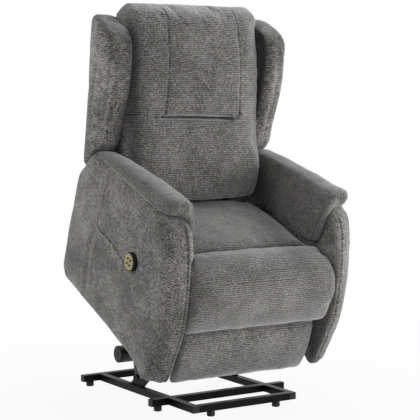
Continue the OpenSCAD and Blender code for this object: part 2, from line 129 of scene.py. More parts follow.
class Finish(Shading):
    def __init__(self, name, shader):
        self.mat = bpy.data.materials.new(name)
        self.mat.use_nodes = True
        super().__init__(self.mat.node_tree)
        self.bsdf = self.tree.nodes["Principled BSDF"]
        for key, value in shader.items():
            self.bsdf.inputs[key].default_value = value

    def coords(self, scale):
        # chair-aligned place in metres, stretched; a large scale is a fine grain
        place = self.node("ShaderNodeTexCoord", None, None, "Object")
        return self.node("ShaderNodeMapping", {"vector_type": "TEXTURE"},
                         {"Vector": place, "Rotation": (math.radians(chair["tilt"]), 0, 0),
                          "Scale": tuple(1 / k for k in scale)})

    def feed(self, name, sock):
        self.tree.links.new(sock.out, self.bsdf.inputs[name])

    def bump(self, height, strength, distance):
        self.feed("Normal", self.node("ShaderNodeBump", None,
                                      {"Height": height, "Strength": strength, "Distance": distance}))


def rgb(r, g, b):
    return (r, g, b, 1.0)


def scaled(colour, k):
    return rgb(*[c * k for c in colour])


# chenille: spacings in metres, clouds per metre, and how much each part of the pile counts; seam is the
# colour of the shade painted along seams and creases
fabricLook = {"row": 0.007, "wander": 18.0, "sway": 1.2,  # the rows' spacing and how they stray
              "dash": 0.007, "dashRows": 1.15, "tuft": 2.5, "soft": 0.2,
              "ridge": 0.34, "dashes": 0.34, "tufts": 0.36,
              "nap": (34.0, 24.0), "patch": (8.0, 6.5), "cloud": (0.34, 0.66), "napShare": 0.4,
              "mottle": 0.18,
              "rough": 0.92, "specular": 0.12, "sheen": 0.9, "sheenRough": 0.5,
              "bump": 0.6, "pile": 0.0016, "stops": (0.24, 0.5, 0.76),
              "dark": rgb(0.03, 0.029, 0.028), "mid": rgb(0.145, 0.14, 0.134),
              "light": rgb(0.42, 0.41, 0.395), "seam": rgb(0.02, 0.019, 0.018)}


def chenille(name, o):
    # soft yarns in rows, dashes along each row, nap brushed lighter and darker in clouds
    f = Finish(name, {"Roughness": o["rough"], "Sheen Weight": o["sheen"], "Sheen Roughness": o["sheenRough"],
                      "Specular IOR Level": o["specular"]})
    place = f.node("ShaderNodeAttribute", {"attribute_name": "cloth"}, None, "Vector")
    along, across, piece = [f.node("ShaderNodeSeparateXYZ", None, {0: place}, axis) for axis in "XYZ"]

    def grain(a, b, detail, rough=0.5):
        return f.noise(f.node("ShaderNodeCombineXYZ", None, {0: a, 1: b, 2: piece}), 1.0, detail, rough)

    def crisp(value):
        return f.spread(value, 0.5 - o["soft"], 0.5 + o["soft"])

    stray = grain(along * o["wander"], across * o["wander"], detail=1.0)
    row = across * (1 / o["row"]) + stray * o["sway"]
    ridge = (row * (2 * math.pi)).sine() * 0.5 + 0.5
    dash = grain(along * (1 / o["dash"]), row * o["dashRows"], detail=1.0, rough=0.6)
    tuft = grain(along * (o["tuft"] / o["dash"]), row * o["tuft"], detail=2.0, rough=0.75)
    nap = grain(along * o["nap"][0], across * o["nap"][1], detail=3.0, rough=0.62)
    patch = grain(along * o["patch"][0], across * o["patch"][1], detail=2.0)
    pile = ridge * o["ridge"] + crisp(dash) * o["dashes"] + crisp(tuft) * o["tufts"]
    cloud = f.spread(nap, *o["cloud"]) * o["napShare"] + f.spread(patch, *o["cloud"]) * (1 - o["napShare"])
    tone = pile * (1 - o["mottle"]) + cloud * o["mottle"]
    stops = list(zip(o["stops"], (o["dark"], o["mid"], o["light"])))
    colour = f.node("ShaderNodeValToRGB", {"stops": stops}, {0: tone})
    # painted shade: the colour darkens towards the seam colour where shade is painted along seams, creases
    # and beside the wings
    shade = f.node("ShaderNodeAttribute", {"attribute_name": "inSeam"}, None, "Fac")
    f.feed("Base Color", f.mix(shade, colour, o["seam"]))
    f.bump(pile, o["bump"], o["pile"])
    return f.mat


# metals and plastics: a grain and broad, faint clouds
coat = {"clouds": 14.0, "cloudShare": 0.7, "darker": 0.8, "lighter": 1.25, "roughSpread": 0.16,
        "height": 0.0004}
brush = {"streaks": (30, 900, 60), "clouds": 20.0, "darker": 0.72, "roughSpread": 0.15, "bump": 0.08,
         "height": 0.0003}


def coated(name, colour, rough, grain=900.0, bump=0.12, metal=0.0, shine=0.5):
    f = Finish(name, {"Metallic": metal, "Specular IOR Level": shine})
    place = f.coords((1, 1, 1))
    fine = f.noise(place, grain, detail=3.0, rough=0.6)
    broad = f.noise(place, coat["clouds"], detail=3.0, rough=0.6)
    tone = broad * coat["cloudShare"] + fine * (1 - coat["cloudShare"])
    f.feed("Base Color", f.mix(tone, scaled(colour, coat["darker"]), scaled(colour, coat["lighter"])))
    f.feed("Roughness", rough + (broad - 0.5) * coat["roughSpread"])
    f.bump(fine, bump, coat["height"])
    return f.mat


def brushed(name, colour, rough):
    f = Finish(name, {"Metallic": 0.9})
    streak = f.noise(f.coords(brush["streaks"]), 1.0, detail=3.0, rough=0.6)
    broad = f.noise(f.coords((1, 1, 1)), brush["clouds"], detail=3.0, rough=0.6)
    f.feed("Base Color", f.mix((streak + broad) * 0.5, scaled(colour, brush["darker"]), rgb(*colour)))
    f.feed("Roughness", rough + streak * brush["roughSpread"])
    f.bump(streak, brush["bump"], brush["height"])
    return f.mat


seatFabric = chenille("seatChenille", fabricLook)
# painted shade: the same chenille with a darker light tone, and less sheen, for the pieces whose tops face up
# into the lamps
shadedTopFabric = chenille("topChenille", {**fabricLook, "sheen": 0.55, "light": rgb(0.36, 0.35, 0.337)})
# partly painted light: the same chenille with lighter mid and light tones to make up for less sheen, for
# pieces that look sideways; its longer dashes and stronger tufts are its grain
litSideFabric = chenille("sideChenille", {**fabricLook, "dash": 0.008, "ridge": 0.28, "tufts": 0.42, "tuft": 2.2,
                                       "soft": 0.18, "mottle": 0.28, "sheen": 0.5,
                                       "mid": rgb(0.155, 0.15, 0.143), "light": rgb(0.49, 0.476, 0.459)})
blackCoat = coated("blackPowderCoat", (0.005, 0.005, 0.006), 0.36, shine=0.08)
blackPlastic = coated("blackPlastic", (0.012, 0.012, 0.012), 0.5, grain=1400.0, bump=0.2, shine=0.25)
motorBlack = coated("motorBlack", (0.016, 0.016, 0.017), 0.34, shine=0.3)
linkZinc = brushed("linkZinc", (0.05, 0.05, 0.054), 0.36)
rodSteel = brushed("rodSteel", (0.75, 0.75, 0.77), 0.16)
goldFilm = coated("goldFilm", (0.29, 0.25, 0.115), 0.3, grain=600.0, bump=0.1, metal=0.6)
print("finishes ready")

# a node takes the finish of the first entry that its name begins with
nodeLook = {"base_rail": blackCoat, "front_cross": blackCoat, "middle_cross": blackCoat,
            "outrigger": blackCoat, "rear_cross": blackCoat, "tube_end": blackPlastic, "feet": blackPlastic,
            "lift_tower": blackCoat, "motor_clevis": blackCoat, "lift_arm": linkZinc,
            "lift_torque": blackCoat, "guide_arm": linkZinc, "rear_link": linkZinc,
            "lift_motor_cap": blackPlastic, "lift_motor": motorBlack,
            "lift_actuator_tube": blackCoat, "lift_actuator_rod": rodSteel, "side_plate": blackCoat,
            "seat_frame": blackCoat, "seat_springs": linkZinc, "handset_housing": blackPlastic,
            "handset_face": goldFilm, "button_": blackPlastic, "footrest_board": blackCoat,
            "footrest_torque": blackCoat, "footrest_": linkZinc, "recline_actuator": motorBlack,
            "recline_rod": rodSteel, "back_drive": linkZinc, "back_frame": blackCoat}
for name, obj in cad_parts.items():
    look = next((nodeLook[k] for k in nodeLook if name.startswith(k)), None)
    if look:
        obj.data.materials.clear()
        obj.data.materials.append(look)


# mesh helpers, all in chair millimetres
def curve(points, steps):
    # closed smooth curve through the points
    p = np.asarray(points, float)
    n = len(p)
    out = []
    for i in range(n):
        a, b, c, d = p[i - 1], p[i], p[(i + 1) % n], p[(i + 2) % n]
        gap = np.linalg.norm(c - b)
        m1, m2 = (c - a) / 2, (d - b) / 2
        m1 = m1 * min(1, gap / max(np.linalg.norm(m1), 1e-6))  # short neighbours don't loop
        m2 = m2 * min(1, gap / max(np.linalg.norm(m2), 1e-6))
        for t in np.arange(steps) / steps:
            out.append((2 * t**3 - 3 * t**2 + 1) * b + (t**3 - 2 * t**2 + t) * m1
                       + (-2 * t**3 + 3 * t**2) * c + (t**3 - t**2) * m2)
    return np.array(out)


def outlineField(loop, u, v):
    # signed distance to a closed outline, negative inside
    q = np.asarray(loop, float)
    u, v = np.broadcast_arrays(u, v)
    best = np.full(u.shape, 1e12)
    inside = np.zeros(u.shape, bool)
    for a, b in zip(q, np.roll(q, -1, 0)):
        d = b - a
        t = np.clip(((u - a[0]) * d[0] + (v - a[1]) * d[1]) / max(d @ d, 1e-9), 0, 1)
        best = np.minimum(best, (u - a[0] - t * d[0]) ** 2 + (v - a[1] - t * d[1]) ** 2)
        if abs(d[1]) > 1e-9:
            inside ^= ((a[1] > v) != (b[1] > v)) & (u < a[0] + d[0] * (v - a[1]) / d[1])
    return np.where(inside, -1, 1) * np.sqrt(best)


def both(r, *fields):
    # intersection with its edges rounded to radius r
    top = fields[0]
    far = 0
    for f in fields:
        top = np.maximum(top, f)
        far = far + np.maximum(f + r, 0) ** 2
    return np.minimum(top + r, 0) + np.sqrt(far) - r


def either(k, a, b):
    # union with a soft fillet of width k
    h = np.clip(0.5 + 0.5 * (b - a) / k, 0, 1)
    return b + (a - b) * h - k * h * (1 - h)


def step01(x, lo, hi):
    # eases from 0 at lo to 1 at hi
    t = np.clip((x - lo) / (hi - lo), 0, 1)
    return t * t * (3 - 2 * t)


def ramp01(x, start, length, most=1.0):
    # straight from 0 at start to 1 at start + length, and on to its most
    return np.clip((x - start) / length, 0, most)


def at(points, y):
    # reads a line of pairs: the second number where the first is y
    q = sorted(points)
    return np.interp(y, [a for a, _ in q], [b for _, b in q])


def meshOf(name, verts, faces):
    me = bpy.data.meshes.new(name)
    me.from_pydata((np.asarray(verts) / metre).tolist(), [], faces)
    obj = bpy.data.objects.new(name, me)
    bpy.context.scene.collection.objects.link(obj)
    return obj


def netted(name, field, o):
    # a closed quad net over the zero surface of a field, on a grid two cells wider than the piece's box
    pitch = o["pitch"]
    axes = [np.arange(a - 2 * pitch, b + 2.01 * pitch, pitch) for a, b in zip(*o["box"])]
    f = field(*np.meshgrid(*axes, indexing="ij", sparse=True))
    f = np.broadcast_to(f, [len(a) for a in axes]) + 1e-7  # no corner lies on the surface
    s = f < 0
    shape = np.array(f.shape) - 1
    pos = np.zeros((*shape, 3))
    count = np.zeros(shape)

    def corner(grid, c):
        return grid[c[0]:c[0] + shape[0], c[1]:c[1] + shape[1], c[2]:c[2] + shape[2]]

    # a cell's vertex is the mean of the places where its edges cross the surface
    for ax in range(3):
        for i in (0, 1):
            for j in (0, 1):
                start = [i, j]
                start.insert(ax, 0)
                end = list(start)
                end[ax] = 1
                fa, fb = corner(f, start), corner(f, end)
                cut = corner(s, start) != corner(s, end)
                t = np.where(cut, fa / np.where(cut, fa - fb, 1), 0)
                for k in range(3):
                    pos[..., k] += cut * (start[k] + (t if k == ax else 0))
                count += cut
    live = count > 0
    index = np.full(shape, -1)
    index[live] = np.arange(live.sum())
    cells = np.argwhere(live)
    verts = (cells + pos[live] / count[live][:, None]) * pitch + np.array([a[0] for a in axes])
    # a face for each grid edge that crosses the surface
    faces = []
    for ax in range(3):
        u, v = (ax + 1) % 3, (ax + 2) % 3
        lowPart = [slice(None)] * 3
        highPart = [slice(None)] * 3
        lowPart[ax], highPart[ax] = slice(0, -1), slice(1, None)
        for w in (u, v):
            lowPart[w] = highPart[w] = slice(1, -1)
        a, b = s[tuple(lowPart)], s[tuple(highPart)]
        for sign in (True, False):
            edge = np.argwhere((a != b) & (a == sign))
            edge[:, u] += 1
            edge[:, v] += 1
            quad = []
            for du, dv in ((-1, -1), (0, -1), (0, 0), (-1, 0)):
                c = edge.copy()
                c[:, u] += du
                c[:, v] += dv
                quad.append(index[tuple(c.T)])
            faces += np.stack(quad if sign else quad[::-1], 1).tolist()
    return meshOf(name, verts, faces)


def getPoints(obj):
    co = np.empty(len(obj.data.vertices) * 3)
    obj.data.vertices.foreach_get("co", co)
    return co.reshape(-1, 3) * metre


def setPoints(obj, p):
    obj.data.vertices.foreach_set("co", (np.asarray(p) / metre).ravel())
    obj.data.update()


def getNormals(obj):
    n = np.empty(len(obj.data.vertices) * 3)
    obj.data.vertices.foreach_get("normal", n)
    return n.reshape(-1, 3)


def mirror(obj):
    setPoints(obj, getPoints(obj) * [-1, 1, 1])
    obj.data.flip_normals()


def applied(obj):
    dg = bpy.context.evaluated_depsgraph_get()
    me = bpy.data.meshes.new_from_object(obj.evaluated_get(dg))
    obj.modifiers.clear()
    old = obj.data
    obj.data = me
    me.name = obj.name
    bpy.data.meshes.remove(old)


def smooth(obj, repeat):
    m = obj.modifiers.new("relax", "SMOOTH")
    m.iterations = repeat
    applied(obj)


def finer(obj):
    m = obj.modifiers.new("finer", "SUBSURF")
    m.levels = m.render_levels = 1
    applied(obj)


def distanceTo(p, line):
    # distance of points to a polyline, the arc length of the nearest place, and the line's length
    line = np.asarray(line, float)
    best = np.full(len(p), 1e9)
    where = np.zeros(len(p))
    run = 0.0
    for a, b in zip(line[:-1], line[1:]):
        ab = b - a
        length = np.linalg.norm(ab)
        t = np.clip(((p - a) @ ab) / max(length * length, 1e-9), 0, 1)
        d = np.linalg.norm(p - (a + t[:, None] * ab), axis=1)
        near = d < best
        best[near] = d[near]
        where[near] = run + t[near] * length
        run += length
    return best, where, run


stuffing = {"frames": 20, "quality": 4, "mass": 0.3, "tension": 12.0, "shear": 4.0, "bending": 0.6,
            "slack": 0.02, "held": 0.02}


def puff(obj, o, pinned):
    # cloth under pressure, every point's travel capped
    start = getPoints(obj)
    group = obj.vertex_groups.new(name="held")
    weight = pinned(start)
    for i in np.nonzero(weight > stuffing["held"])[0]:
        group.add([int(i)], float(min(1, weight[i])), "REPLACE")
    m = obj.modifiers.new("stuffing", "CLOTH")
    c = m.settings
    c.quality = stuffing["quality"]
    c.mass = stuffing["mass"]
    c.tension_stiffness = c.compression_stiffness = stuffing["tension"]
    c.shear_stiffness = stuffing["shear"]
    c.bending_stiffness = stuffing["bending"]
    c.use_pressure = True
    c.uniform_pressure_force = o["pressure"]
    c.shrink_min = -stuffing["slack"]
    c.effector_weights.gravity = 0
    c.vertex_group_mass = "held"
    c.pin_stiffness = 1.0
    m.collision_settings.use_collision = False
    m.collision_settings.use_self_collision = False
    m.point_cache.frame_start, m.point_cache.frame_end = 1, stuffing["frames"]
    scene = bpy.context.scene
    for k in range(stuffing["frames"]):
        scene.frame_set(k + 1)
    dg = bpy.context.evaluated_depsgraph_get()
    swollen = obj.evaluated_get(dg).to_mesh()
    co = np.empty(len(swollen.vertices) * 3)
    swollen.vertices.foreach_get("co", co)
    obj.modifiers.clear()
    obj.vertex_groups.clear()
    scene.frame_set(1)
    move = co.reshape(-1, 3) * metre - start
    size = np.linalg.norm(move, axis=1)
    move *= (o["cap"] * np.tanh(size / o["cap"]) / np.maximum(size, 1e-6))[:, None]
    setPoints(obj, start + move)


ripples = {"count": 7, "shortest": 0.6, "longest": 1.6, "phase": 6.28}  # phase is about one turn


def ripple(p, seed, scale):
    # smooth repeatable waves standing in for uneven filling
    rng = np.random.default_rng(seed)
    out = np.zeros(len(p))
    for _ in range(ripples["count"]):
        d = rng.normal(size=3)
        d /= np.linalg.norm(d)
        length = scale * rng.uniform(ripples["shortest"], ripples["longest"])
        out += np.sin(p @ d * (2 * math.pi / length) + rng.uniform(0, ripples["phase"]))
    return out / ripples["count"]


# what a seam is where it says nothing else; dark is how much shade is painted along it, and shade is the
# width of that painted shade line
plainSeam = {"fade": 0.0, "ridge": 0.0, "pucker": 0.0, "dark": 0.5, "shade": None}
stitch = {"pitch": 23.0, "drift": 1.7, "driftPitch": 0.11, "fadeCurl": 0.7, "ridgeAt": 2.2, "ridgeWide": 1.3,
          "puckerWide": 5, "thinnest": 3.6, "shadeShare": 0.7}


def sewn(obj, seams, uneven, seed):
    # pulls the surface in along each line, with a ridge and puckers beside it, over an uneven filling, and
    # paints shade along each line into the cloth's colour
    p, n = getPoints(obj), getNormals(obj)
    size, length = uneven
    move = ripple(p, seed, length) * size
    shade = np.zeros(len(p))
    for seam in seams:
        s = {**plainSeam, **seam}
        d, run, total = distanceTo(p, s["line"])
        width = s["width"]
        fade = np.ones(len(p))
        if s["fade"]:
            fade = np.clip(np.minimum(run, total - run) / s["fade"], 0, 1) ** stitch["fadeCurl"]
        darkWide = s["shade"] or max(stitch["thinnest"], stitch["shadeShare"] * width)
        # painted shade: a dark band along each line, kept on the points for the cloth's colour to darken by
        shade = np.maximum(shade, s["dark"] * fade * np.exp(-(d / darkWide) ** 2))
        drift = stitch["drift"] * np.sin(run * stitch["driftPitch"])
        wave = np.sin(run * 2 * math.pi / stitch["pitch"] + drift) * s["pucker"]
        away = np.exp(-(d / (stitch["puckerWide"] * width)) ** 2) * (1 - np.exp(-(d / width) ** 2))
        beside = np.exp(-((d - stitch["ridgeAt"] * width) / (stitch["ridgeWide"] * width)) ** 2)
        move += fade * (wave * away + s["ridge"] * beside - s["depth"] * np.exp(-(d / width) ** 2))
    setPoints(obj, p + n * move[:, None])
    keep = obj.data.attributes.new("inSeam", "FLOAT", "POINT")
    keep.data.foreach_set("value", shade)


def laid(obj, unroll):
    # cloth coordinates in metres on every point: along the rows, across them, and one number for the piece
    p = getPoints(obj)
    along, across = unroll(p, getNormals(obj))
    piece = np.full(len(p), 100.0 * (sum(map(ord, obj.name)) % 23))
    place = obj.data.attributes.new("cloth", "FLOAT_VECTOR", "POINT")
    place.data.foreach_set("vector", (np.stack([along, across, piece], 1) / metre).ravel())


def overProfile(line):
    # rows run straight across the chair and are spaced along the profile
    flat = [(0, y, z) for y, z in line]

    def unroll(p, n):
        d, run, _ = distanceTo(p * [0, 1, 1], flat)
        return p[:, 0] + n[:, 0] * d, run
    return unroll


sideStretch = 0.5  # the run along a row counts this much on a side, so its dashes are longer


def overSide(depth, lean=0.0):
    # rows run front to back on a face that looks sideways, and carry on round its edges
    a = math.radians(lean)
    rows, up = np.array([0, -math.cos(a), math.sin(a)]), np.array([0, math.sin(a), math.cos(a)])

    def unroll(p, n):
        inward = np.maximum(depth - abs(p[:, 0]), 0)
        return sideStretch * (p @ rows) + inward * (n @ rows), p @ up + inward * (n @ up) * abs(n @ up)
    return unroll


def dressed(obj, body, look, unroll, nodes):
    # the finished piece: cloth laid, placed in the frame, given its finish, hung on its body's empty, and the
    # frame parts it stands for hidden
    laid(obj, unroll)
    setPoints(obj, toWorld(getPoints(obj)) * metre)
    for poly in obj.data.polygons:
        poly.use_smooth = True
    obj.data.materials.clear()
    obj.data.materials.append(look)
    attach(obj, body)
    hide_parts(*nodes)


# arms: a side panel wrapped over a board, with a gusset down its front
arm = {"box": ((288, -382, 66), (392, 400, 670)), "pitch": 7.0, "pressure": 3.0, "cap": 2.5,
       "inside": 294.0, "outside": 385.0, "edge": 12.0, "fill": 0.3, "wrap": 386.0,
       "frontBack": 42.0, "turn": (300.0, 86.0, 1.3), "early": 0.16, "curl": 2.6, "ahead": (60.0, 250.0),
       "bulge": 3.0, "middle": (20.0, 360.0), "reach": (380.0, 300.0),
       "recess": 10.6, "recessAhead": (256.0, 268.0), "recessTop": (524.0, 550.0),  # room for the roll's ends
       "heldIn": 6.0, "seamHold": 7.0, "uneven": (1.8, 150.0), "seeds": {1: 12, -1: 11},
       "outline": [(312, 632), (340, 606), (363, 563), (391, 513), (390, 400), (386, 282), (379, 205),
                   (370, 146), (352, 122), (330, 110), (200, 108), (0, 107), (-200, 102), (-280, 88),
                   (-318, 76), (-343, 88), (-352, 122), (-358, 168), (-364, 215), (-369, 265), (-366, 325),
                   (-355, 395), (-338, 460), (-315, 525), (-293, 572), (-266, 614), (-240, 634),
                   (-188, 651), (-166, 658), (-60, 655), (120, 646), (279, 637)],
       "outerSeam": 374.0, "innerSeam": 320.0, "seamAhead": 160.0, "seamTop": 645.0,
       "outerLook": {1: {"depth": 2.4, "width": 3.6, "ridge": 0.8, "dark": 0.6, "shade": 4.6},
                     -1: {"depth": 1.0, "width": 3.6, "ridge": 0.8, "dark": 0.1, "shade": 4.6}},
       "innerLook": {"depth": 2.6, "width": 3.6, "ridge": 1.2, "dark": 0.5, "shade": 4.6}}

# seams and folds on the outer face, as (y, z) lines, with shade painted along them; only the right panel has
# them
armFolds = {1: [],
            -1: [{"line": [(173, 648), (175, 605), (176, 518), (178, 415)],
                  "depth": 2.6, "width": 3.4, "ridge": 0.9},
                 {"line": [(178, 415), (60, 410), (3, 402), (-52, 386)],
                  "depth": 8.0, "width": 4.2, "ridge": 2.4, "fade": 10, "dark": 1.0},
                 {"line": [(178, 410), (197, 340), (188, 250), (173, 181), (165, 112)],
                  "depth": 2.6, "width": 11.0, "ridge": 2.4, "fade": 50, "dark": 0.25},
                 {"line": [(-141, 640), (-134, 573), (-133, 462), (-160, 352)],
                  "depth": 1.5, "width": 3.0, "ridge": 0.6, "fade": 40},
                 {"line": [(-52, 520), (-30, 470), (20, 425)],
                  "depth": 2.0, "width": 9.0, "ridge": 1.4, "fade": 40, "dark": 0.15}]}


def frontStep(x):
    # how far the front edge lies back as it nears the outer face
    k = ramp01(x, *arm["turn"])
    return arm["frontBack"] * (arm["early"] * k + (1 - arm["early"]) * k ** arm["curl"])


def armField(x, y, z):
    back = frontStep(x) * step01(-y, *arm["ahead"])
    along, up = [(v - m) / r for v, m, r in zip((y, z), arm["middle"], arm["reach"])]
    bulge = arm["bulge"] * (1 - along**2) * (1 - up**2)
    side = outlineField(curve(arm["outline"], 4), y - back, z)
    recess = arm["recess"] * step01(-y, *arm["recessAhead"]) * (1 - step01(z, *arm["recessTop"]))
    slab = np.maximum(x - arm["outside"] - bulge, arm["inside"] + recess - x)
    return both(arm["edge"], side, slab)


def armSeam(x):
    # a seam down the front, where the outer or the inner wrap meets the gusset
    line = [(y, z) for y, z in arm["outline"] if y < -arm["seamAhead"]][1:]
    return [(x, y + frontStep(abs(x)), z) for y, z in line if z < arm["seamTop"]]


def sidePanel(side, name, node):
    obj = netted(name, armField, arm)
    if side < 0:
        mirror(obj)
    wraps = [{**arm["outerLook"][side], "line": armSeam(side * arm["outerSeam"])},
             {**arm["innerLook"], "line": armSeam(side * arm["innerSeam"])}]
    x = side * (arm["outside"] + arm["bulge"])
    folds = [{**fold, "line": [(x, y, z) for y, z in fold["line"]]} for fold in armFolds[side]]

    def held(p):
        inner = arm["inside"] + arm["heldIn"] + arm["recess"] * (p[:, 1] < -arm["recessAhead"][0])
        w = (abs(p[:, 0]) < inner) * 1.0
        for seam in wraps:
            w = np.maximum(w, np.exp(-(distanceTo(p, seam["line"])[0] / arm["seamHold"]) ** 2))
        return w
    puff(obj, arm, held)
    finer(obj)
    sewn(obj, wraps + folds, arm["uneven"], arm["seeds"][side])
    dressed(obj, "seat_body", litSideFabric, overSide(arm["wrap"]), [node])


sidePanel(1, "sidePanelLeft", "side_panel_left")
sidePanel(-1, "sidePanelRight", "side_panel_right")
print("arm panels sewn")

# arm pads: a puffy top, and a drape that hangs down inside to the seat
pad = {"box": ((270, -262, 468), (400, 324, 716)), "pitch": 5.5, "pressure": 3.0, "cap": 3.0, "relax": 2,
       "lip": 22.0, "fillet": 20.0, "inside": 286.0, "outside": 396.0, "rear": 322.0, "below": 3.0,
       "fill": 0.6, "crest": 345.0, "half": 50.0, "fallOut": 13.0, "fallIn": 6.0,
       "sag": {1: 11.0, -1: 2.0}, "sagSpan": (-190.0, -90.0),
       "nose": -214.0, "noseBack": 42.0, "noseMost": 1.4, "noseCurl": 1.8, "noseIn": 8.0,
       "innerFrom": 330.0, "innerWide": 46.0,
       "underCut": 16.0, "underFrom": 690.0, "underHigh": 40.0, "underCurl": 1.6,
       "heldIn": 300.0, "heldBelow": 615.0, "uneven": (1.6, 90.0), "seeds": {1: 21, -1: 22},
       "top": [(330, 640), (299, 646), (205, 666), (75, 686), (-18, 700), (-113, 708), (-175, 711),
               (-230, 706)],
       "seam": [(330, 630), (279, 635), (120, 644), (-60, 652), (-166, 655), (-190, 650), (-240, 644)],
       "hem": {1: [(700, -214), (680, -226), (650, -222), (612, -214), (569, -208), (534, -205),
                   (513, -192), (500, -160), (488, -110), (480, 0), (470, 200)],
               -1: [(700, -190), (680, -198), (655, -221), (620, -241), (590, -237), (569, -227),
                    (534, -209), (513, -192), (500, -160), (488, -110), (480, 0), (470, 200)]},
       "seamRun": (312, -196, 26), "seamRise": 20.0, "seamRiseOver": 200.0, "lowRise": 6.0,
       "hemAt": 274.0, "hemIn": (15, 3)}
drape = {"edge": 8.0, "inside": 284.0, "outside": 299.0, "below": 18.0, "low": 472.0, "rear": 318.0,
         "plump": 11.0, "plumpBack": (-20.0, 110.0), "plumpUp": (496.0, 540.0)}


def padField(x, y, z, side):
    inner = ramp01(pad["innerFrom"] - x, 0, pad["innerWide"])
    low = at(pad["seam"], y) - pad["below"]
    crown = at(pad["top"], y) - pad["sag"][side] * step01(y, *pad["sagSpan"])
    fall = np.where(x > pad["crest"], pad["fallOut"], pad["fallIn"])
    high = crown - fall * ((x - pad["crest"]) / pad["half"]) ** 2
    round01 = ramp01(x, pad["crest"], pad["half"], pad["noseMost"]) ** pad["noseCurl"]
    nose = pad["nose"] + pad["noseBack"] * round01 - pad["noseIn"] * inner
    under = pad["underCut"] * ramp01(pad["underFrom"] - z, 0, pad["underHigh"]) ** pad["underCurl"]
    block = both(pad["lip"], np.maximum(x - pad["outside"], pad["inside"] - x),
                 np.maximum(z - high, low - z),
                 np.maximum(nose + under * (1 - inner) - y, y - pad["rear"]))
    # the drape's front part stands in towards the seat
    plump = drape["plump"] * (1 - step01(y, *drape["plumpBack"])) * step01(z, *drape["plumpUp"])
    hung = both(drape["edge"], np.maximum(x - drape["outside"], drape["inside"] - plump - x),
                np.maximum(z - crown + drape["below"], drape["low"] - z),
                np.maximum(at(pad["hem"][side], z) - y, y - drape["rear"]))
    return either(pad["fillet"], block, hung)


def overPad(p, n):
    # rows run along the arm; the spacing goes over the top and down the inside
    x, nx = abs(p[:, 0]), n[:, 0] * np.sign(p[:, 0])
    drop = np.maximum(at(pad["top"], p[:, 1]) - p[:, 2], 0)
    return p[:, 1] + n[:, 1] * drop, x + nx * drop


def padSeams(side):
    # one round the top's edge, one under it and one along the drape's front
    outer, under = [], []
    for y in np.linspace(*pad["seamRun"]):
        z = at(pad["seam"], y)
        rise = pad["seamRise"] * min(1, (pad["rear"] - y) / pad["seamRiseOver"])
        outer.append((side * pad["outside"], y, z + rise))
        under.append((side * (pad["outside"] - 1), y, z + pad["lowRise"]))
    back, up = pad["hemIn"]
    hem = [(side * pad["hemAt"], y + back, z + up) for z, y in pad["hem"][side][2:-2]]
    return [{"line": outer, "depth": 2.2, "width": 3.2, "ridge": 0.9, "pucker": 0.6},
            {"line": under, "depth": 1.6, "width": 3.0, "pucker": 0.4},
            {"line": hem, "depth": 1.4, "width": 3.0, "ridge": 0.6, "pucker": 0.4}]


def armPad(side, name, node):
    obj = netted(name, lambda x, y, z: padField(x, y, z, side), pad)
    if side < 0:
        mirror(obj)
    smooth(obj, pad["relax"])
    puff(obj, pad, lambda p: ((abs(p[:, 0]) < pad["heldIn"]) & (p[:, 2] < pad["heldBelow"])) * 1.0)
    finer(obj)
    sewn(obj, padSeams(side), pad["uneven"], pad["seeds"][side])
    dressed(obj, "seat_body", shadedTopFabric, overPad, [node])


armPad(1, "armPadLeft", "arm_pad_left")
armPad(-1, "armPadRight", "arm_pad_right")
print("arm pads sewn")

# seat cushion; top is its profile from front to back
seat = {"box": ((-288, -212, 366), (288, 212, 524)), "pitch": 8.0, "pressure": 4.0, "cap": 5.0,
        "half": 277.0, "edge": 22.0, "low": 372.0, "front": -208.0, "rear": 206.0, "fill": 0.7,
        "sideDrop": 26.0, "sideCurl": 3.4, "heldBelow": 434.0, "uneven": (2.2, 130.0), "seed": 31,
        "top": [(-207, 516), (-150, 516), (-40, 515), (60, 510), (130, 501), (188, 490), (204, 474)],
        "frontWrap": [(-209, 460)], "rearWrap": [(207, 440)],
        "leverAt": 239.5, "leverRoom": 15.0,
        "notch": [(34, 346), (226, 346), (226, 426), (172, 426), (34, 380)]}


def seatField(x, y, z):
    crown = at(seat["top"], y) - seat["sideDrop"] * (abs(x) / seat["half"]) ** seat["sideCurl"]
    body = both(seat["edge"], np.maximum(z - crown, seat["low"] - z),
                np.maximum(seat["front"] - y, y - seat["rear"]), abs(x) - seat["half"])
    # room for the levers of the back as it reclines
    room = np.maximum(abs(abs(x) - seat["leverAt"]) - seat["leverRoom"], outlineField(seat["notch"], y, z))
    return np.maximum(body, -room)


seatCushion = netted("seatCushion", seatField, seat)
puff(seatCushion, seat, lambda p: (p[:, 2] < seat["heldBelow"]) * 1.0)
finer(seatCushion)
sewn(seatCushion, [], seat["uneven"], seat["seed"])
seatWrap = overProfile(seat["frontWrap"] + seat["top"] + seat["rearWrap"])
dressed(seatCushion, "seat_body", shadedTopFabric, seatWrap, ["seat_cushion"])

# the roll at the seat's front
roll = {"box": ((-308, -380, 262), (308, -200, 528)), "pitch": 7.5, "pressure": 4.0, "cap": 5.0,
        "half": 302.0, "edge": 26.0, "fill": 0.7, "uneven": (2.2, 130.0), "seed": 32,
        "drop": 17.0, "dropUp": (380.0, 470.0), "sideBack": 7.0, "ahead": (260.0, 330.0),
        "narrow": 17.0, "narrowBack": (-290.0, -250.0), "heldBehind": -300.0, "heldBelow": 440.0,
        "outline": [(-208, 372), (-210, 450), (-207, 514), (-222, 520), (-250, 520), (-292, 509),
                    (-328, 491), (-352, 465), (-366, 430), (-371, 394), (-370, 350), (-364, 310),
                    (-353, 284), (-340, 273), (-326, 276), (-314, 296), (-304, 330), (-288, 356),
                    (-255, 370)],
        "seamAt": (-222.0, 521.0), "seamRun": (-286, 286, 30), "seamHalf": 303.0}


